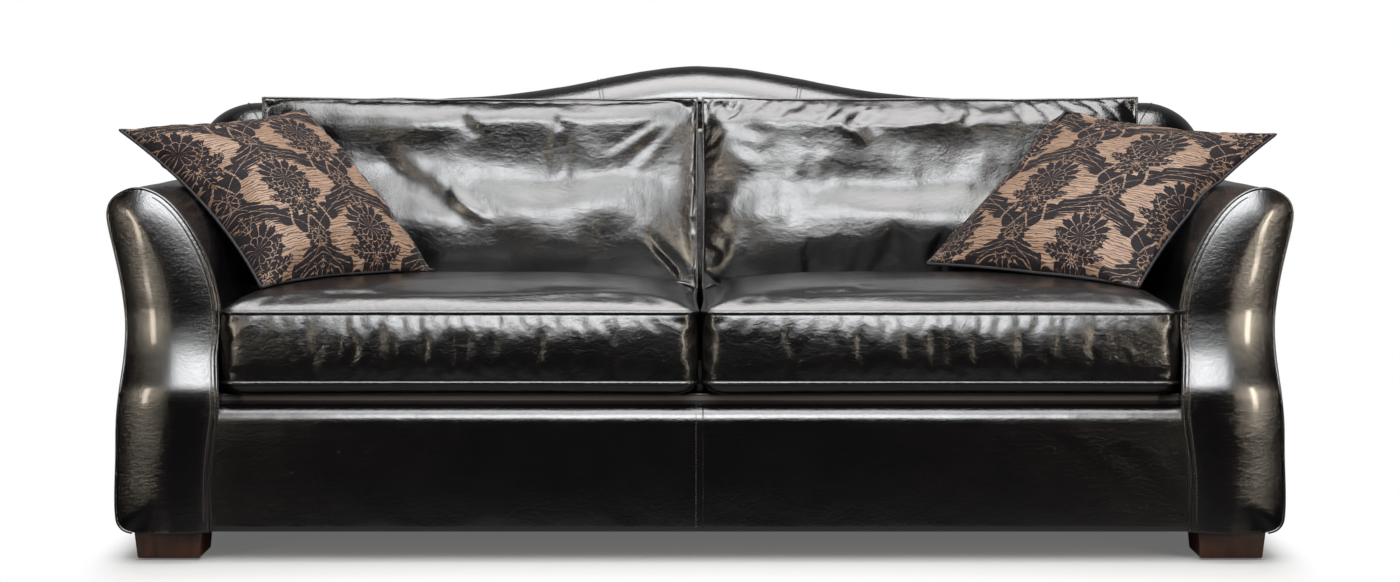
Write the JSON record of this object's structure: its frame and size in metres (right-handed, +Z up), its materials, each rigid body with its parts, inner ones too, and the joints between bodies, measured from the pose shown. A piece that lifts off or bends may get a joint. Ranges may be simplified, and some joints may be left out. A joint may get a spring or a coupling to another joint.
{
  "type": "camelback sofa",
  "caption": "Leather sofa with a camelback crest, padded scroll arms, boxed seat cushions, loose back cushions, damask throw pillows and short tapered wooden block feet.",
  "frame": {"origin": "on the floor under the middle of the sofa's bounding box", "axes": "+X to the right seen from the front, -Y to the front, +Z up"},
  "size_m": [2.2967, 0.95, 0.932],
  "materials": {
    "leather": "glossy black upholstery leather with a soft grain",
    "cushion_leather": "glossy black upholstery leather, creased over soft filling",
    "damask": "crinkled satin with a velvet damask",
    "platform_cloth": "matte black platform cloth",
    "cambric": "matte black cambric",
    "hardwood": "planed hardwood",
    "walnut": "dark walnut stain under satin lacquer",
    "steel": "zinc plated",
    "nylon": "moulded nylon"
  },
  "bodies": {
    "sofa_frame": {"back_cover": "leather", "centre_back_post": "hardwood", "centre_stretcher": "hardwood", "crest_rail": "hardwood", "dust_cover": "cambric", "front_left_corner_block": "hardwood", "front_left_foot": "walnut", "front_left_foot_bolt": "steel", "front_left_glide": "nylon", "front_rail_board": "hardwood", "front_rail_cover": "leather", "front_right_corner_block": "hardwood", "front_right_foot": "walnut", "front_right_foot_bolt": "steel", "front_right_glide": "nylon", "inside_back_pad": "leather", "left_arm_cover": "leather", "left_arm_front_board": "hardwood", "left_arm_front_panel": "leather", "left_arm_rear_board": "hardwood", "left_arm_top_board": "hardwood", "left_back_post": "hardwood", "left_side_rail": "hardwood", "outside_back_panel": "leather", "rear_left_corner_block": "hardwood", "rear_left_foot": "walnut", "rear_left_foot_bolt": "steel", "rear_left_glide": "nylon", "rear_rail_board": "hardwood", "rear_right_corner_block": "hardwood", "rear_right_foot": "walnut", "rear_right_foot_bolt": "steel", "rear_right_glide": "nylon", "rear_spring_rail": "hardwood", "right_arm_cover": "leather", "right_arm_front_board": "hardwood", "right_arm_front_panel": "leather", "right_arm_rear_board": "hardwood", "right_arm_top_board": "hardwood", "right_back_post": "hardwood", "right_side_rail": "hardwood", "seat_deck": "platform_cloth", "seat_spring_1": "steel", "seat_spring_2": "steel", "seat_spring_3": "steel", "seat_spring_4": "steel", "seat_spring_5": "steel", "seat_spring_6": "steel"},
    "left_seat_cushion": {"left_seat_cushion": "cushion_leather"},
    "right_seat_cushion": {"right_seat_cushion": "cushion_leather"},
    "left_back_cushion": {"left_back_cushion": "cushion_leather"},
    "right_back_cushion": {"right_back_cushion": "cushion_leather"},
    "left_throw_pillow": {"left_throw_pillow": "damask"},
    "right_throw_pillow": {"right_throw_pillow": "damask"}
  },
  "joints": [
    {"name": "left_seat_cushion_lift", "type": "slide", "parent": "sofa_frame", "child": "left_seat_cushion", "axis": [0, 0, 1], "range_m": [0, 0.45]},
    {"name": "left_back_cushion_lift", "type": "slide", "parent": "left_seat_cushion", "child": "left_back_cushion", "axis": [0, 0, 1], "range_m": [0, 0.45]},
    {"name": "left_throw_pillow_lift", "type": "slide", "parent": "left_back_cushion", "child": "left_throw_pillow", "axis": [0, -0.5, 0.866], "range_m": [0, 0.4]},
    {"name": "right_seat_cushion_lift", "type": "slide", "parent": "sofa_frame", "child": "right_seat_cushion", "axis": [0, 0, 1], "range_m": [0, 0.45]},
    {"name": "right_back_cushion_lift", "type": "slide", "parent": "right_seat_cushion", "child": "right_back_cushion", "axis": [0, 0, 1], "range_m": [0, 0.45]},
    {"name": "right_throw_pillow_lift", "type": "slide", "parent": "right_back_cushion", "child": "right_throw_pillow", "axis": [0, -0.5, 0.866], "range_m": [0, 0.4]}
  ]
}
